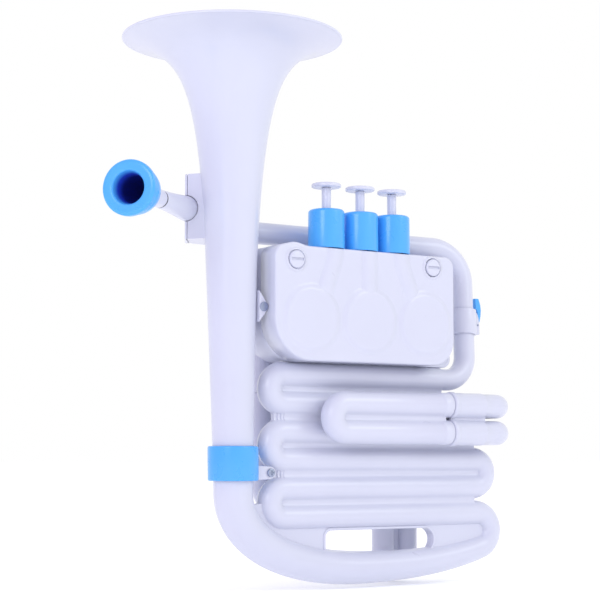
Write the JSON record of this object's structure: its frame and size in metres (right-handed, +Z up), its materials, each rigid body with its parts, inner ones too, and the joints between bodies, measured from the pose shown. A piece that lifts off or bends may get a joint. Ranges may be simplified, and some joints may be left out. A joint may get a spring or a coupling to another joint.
{
  "type": "upright valved training horn",
  "caption": "Compact upright moulded horn with push-button valves, a serpentine body, a pull-out tuning slide and an upward bell.",
  "frame": {"origin": "on the bell axis, at the middle of the left hand's hold round the bell joint", "axes": "+Z up along the bell axis; +X from the bell towards the tuning slide's receivers; +Y away from the player's front view, towards the valve slides"},
  "size_m": [0.3677, 0.162, 0.4045],
  "materials": {
    "white_plastic": "smooth moulded gloss",
    "blue_plastic": "satin gloss",
    "inner_plastic": "as moulded",
    "pin_metal": "satin",
    "spring_steel": "drawn wire",
    "cork": "fine grained"
  },
  "bodies": {
    "horn": {"bell": "white_plastic", "body_front_shell": "white_plastic", "body_rear_shell": "white_plastic", "upper_tube": "white_plastic", "water_key_collar": "white_plastic", "tuning_receiver_upper": "white_plastic", "tuning_receiver_lower": "white_plastic", "valve_cover": "white_plastic", "valve_housing": "white_plastic", "cover_screw_1": "white_plastic", "cover_screw_2": "white_plastic", "junction_block": "white_plastic", "junction_flange": "white_plastic", "mouthpiece_receiver": "white_plastic", "bell_lug_upper": "white_plastic", "bell_lug_lower": "white_plastic", "valve_1_receiver_left": "white_plastic", "valve_1_receiver_right": "white_plastic", "valve_2_receiver_left": "white_plastic", "valve_2_receiver_right": "white_plastic", "valve_3_receiver_left": "white_plastic", "valve_3_receiver_right": "white_plastic", "bell_joint_band": "blue_plastic", "valve_cap_1": "blue_plastic", "valve_cap_2": "blue_plastic", "valve_cap_3": "blue_plastic", "rotor_casing_1": "inner_plastic", "rotor_casing_2": "inner_plastic", "rotor_casing_3": "inner_plastic", "bell_lug_pin": "pin_metal", "bell_lug_screw": "pin_metal", "water_key_pin": "pin_metal", "valve_spring_1": "spring_steel", "valve_spring_2": "spring_steel", "valve_spring_3": "spring_steel"},
    "mouthpiece": {"mouthpiece_cup": "blue_plastic", "mouthpiece_shank": "white_plastic"},
    "tuning_slide": {"tuning_slide": "white_plastic"},
    "water_key": {"water_key_lever": "blue_plastic", "water_key_cork": "cork"},
    "valve_1_key": {"valve_button_1": "white_plastic", "valve_stem_1": "white_plastic", "valve_rack_1": "inner_plastic"},
    "valve_1_rotor": {"valve_rotor_1": "inner_plastic"},
    "valve_1_slide": {"valve_1_slide": "white_plastic"},
    "valve_2_key": {"valve_button_2": "white_plastic", "valve_stem_2": "white_plastic", "valve_rack_2": "inner_plastic"},
    "valve_2_rotor": {"valve_rotor_2": "inner_plastic"},
    "valve_2_slide": {"valve_2_slide": "white_plastic"},
    "valve_3_key": {"valve_button_3": "white_plastic", "valve_stem_3": "white_plastic", "valve_rack_3": "inner_plastic"},
    "valve_3_rotor": {"valve_rotor_3": "inner_plastic"},
    "valve_3_slide": {"valve_3_slide": "white_plastic"}
  },
  "joints": [
    {"name": "mouthpiece_pull", "type": "slide", "parent": "horn", "child": "mouthpiece", "axis": [-0.7912, -0.6116, 0], "range_m": [0, 0.024]},
    {"name": "tuning_slide_pull", "type": "slide", "parent": "horn", "child": "tuning_slide", "axis": [-1, 0, 0], "range_m": [0, 0.03]},
    {"name": "water_key_press", "type": "hinge", "parent": "horn", "child": "water_key", "pos_m": [0.23086, 0.00509, 0.119], "axis": [0, -1, 0], "range_deg": [0, 7], "stiffness_Nm_per_rad": 0.05, "springref_deg": -8.59},
    {"name": "valve_1_press", "type": "slide", "parent": "horn", "child": "valve_1_key", "axis": [0, 0, -1], "range_m": [0, 0.0125], "stiffness_N_per_m": 220, "springref_m": -0.006, "deforming": ["valve_spring_1"]},
    {"name": "valve_1_turn", "type": "hinge", "parent": "horn", "child": "valve_1_rotor", "pos_m": [0.054, 0, 0.115], "axis": [0, 1, 0], "range_deg": [0, 90]},
    {"name": "valve_1_slide_pull", "type": "slide", "parent": "horn", "child": "valve_1_slide", "axis": [0, 0, -1], "range_m": [0, 0.025]},
    {"name": "valve_2_press", "type": "slide", "parent": "horn", "child": "valve_2_key", "axis": [0, 0, -1], "range_m": [0, 0.0125], "stiffness_N_per_m": 220, "springref_m": -0.006, "deforming": ["valve_spring_2"]},
    {"name": "valve_2_turn", "type": "hinge", "parent": "horn", "child": "valve_2_rotor", "pos_m": [0.1063, 0, 0.115], "axis": [0, 1, 0], "range_deg": [0, 90]},
    {"name": "valve_2_slide_pull", "type": "slide", "parent": "horn", "child": "valve_2_slide", "axis": [0, 0, -1], "range_m": [0, 0.025]},
    {"name": "valve_3_press", "type": "slide", "parent": "horn", "child": "valve_3_key", "axis": [0, 0, -1], "range_m": [0, 0.0125], "stiffness_N_per_m": 220, "springref_m": -0.006, "deforming": ["valve_spring_3"]},
    {"name": "valve_3_turn", "type": "hinge", "parent": "horn", "child": "valve_3_rotor", "pos_m": [0.1586, 0, 0.115], "axis": [0, 1, 0], "range_deg": [-90, 0]},
    {"name": "valve_3_slide_pull", "type": "slide", "parent": "horn", "child": "valve_3_slide", "axis": [0, 0, -1], "range_m": [0, 0.025]}
  ],
  "couplings": [
    {"joint": "valve_1_turn", "follows": "valve_1_press", "rad_per_m": 125},
    {"joint": "valve_2_turn", "follows": "valve_2_press", "rad_per_m": 125},
    {"joint": "valve_3_turn", "follows": "valve_3_press", "rad_per_m": -125}
  ]
}
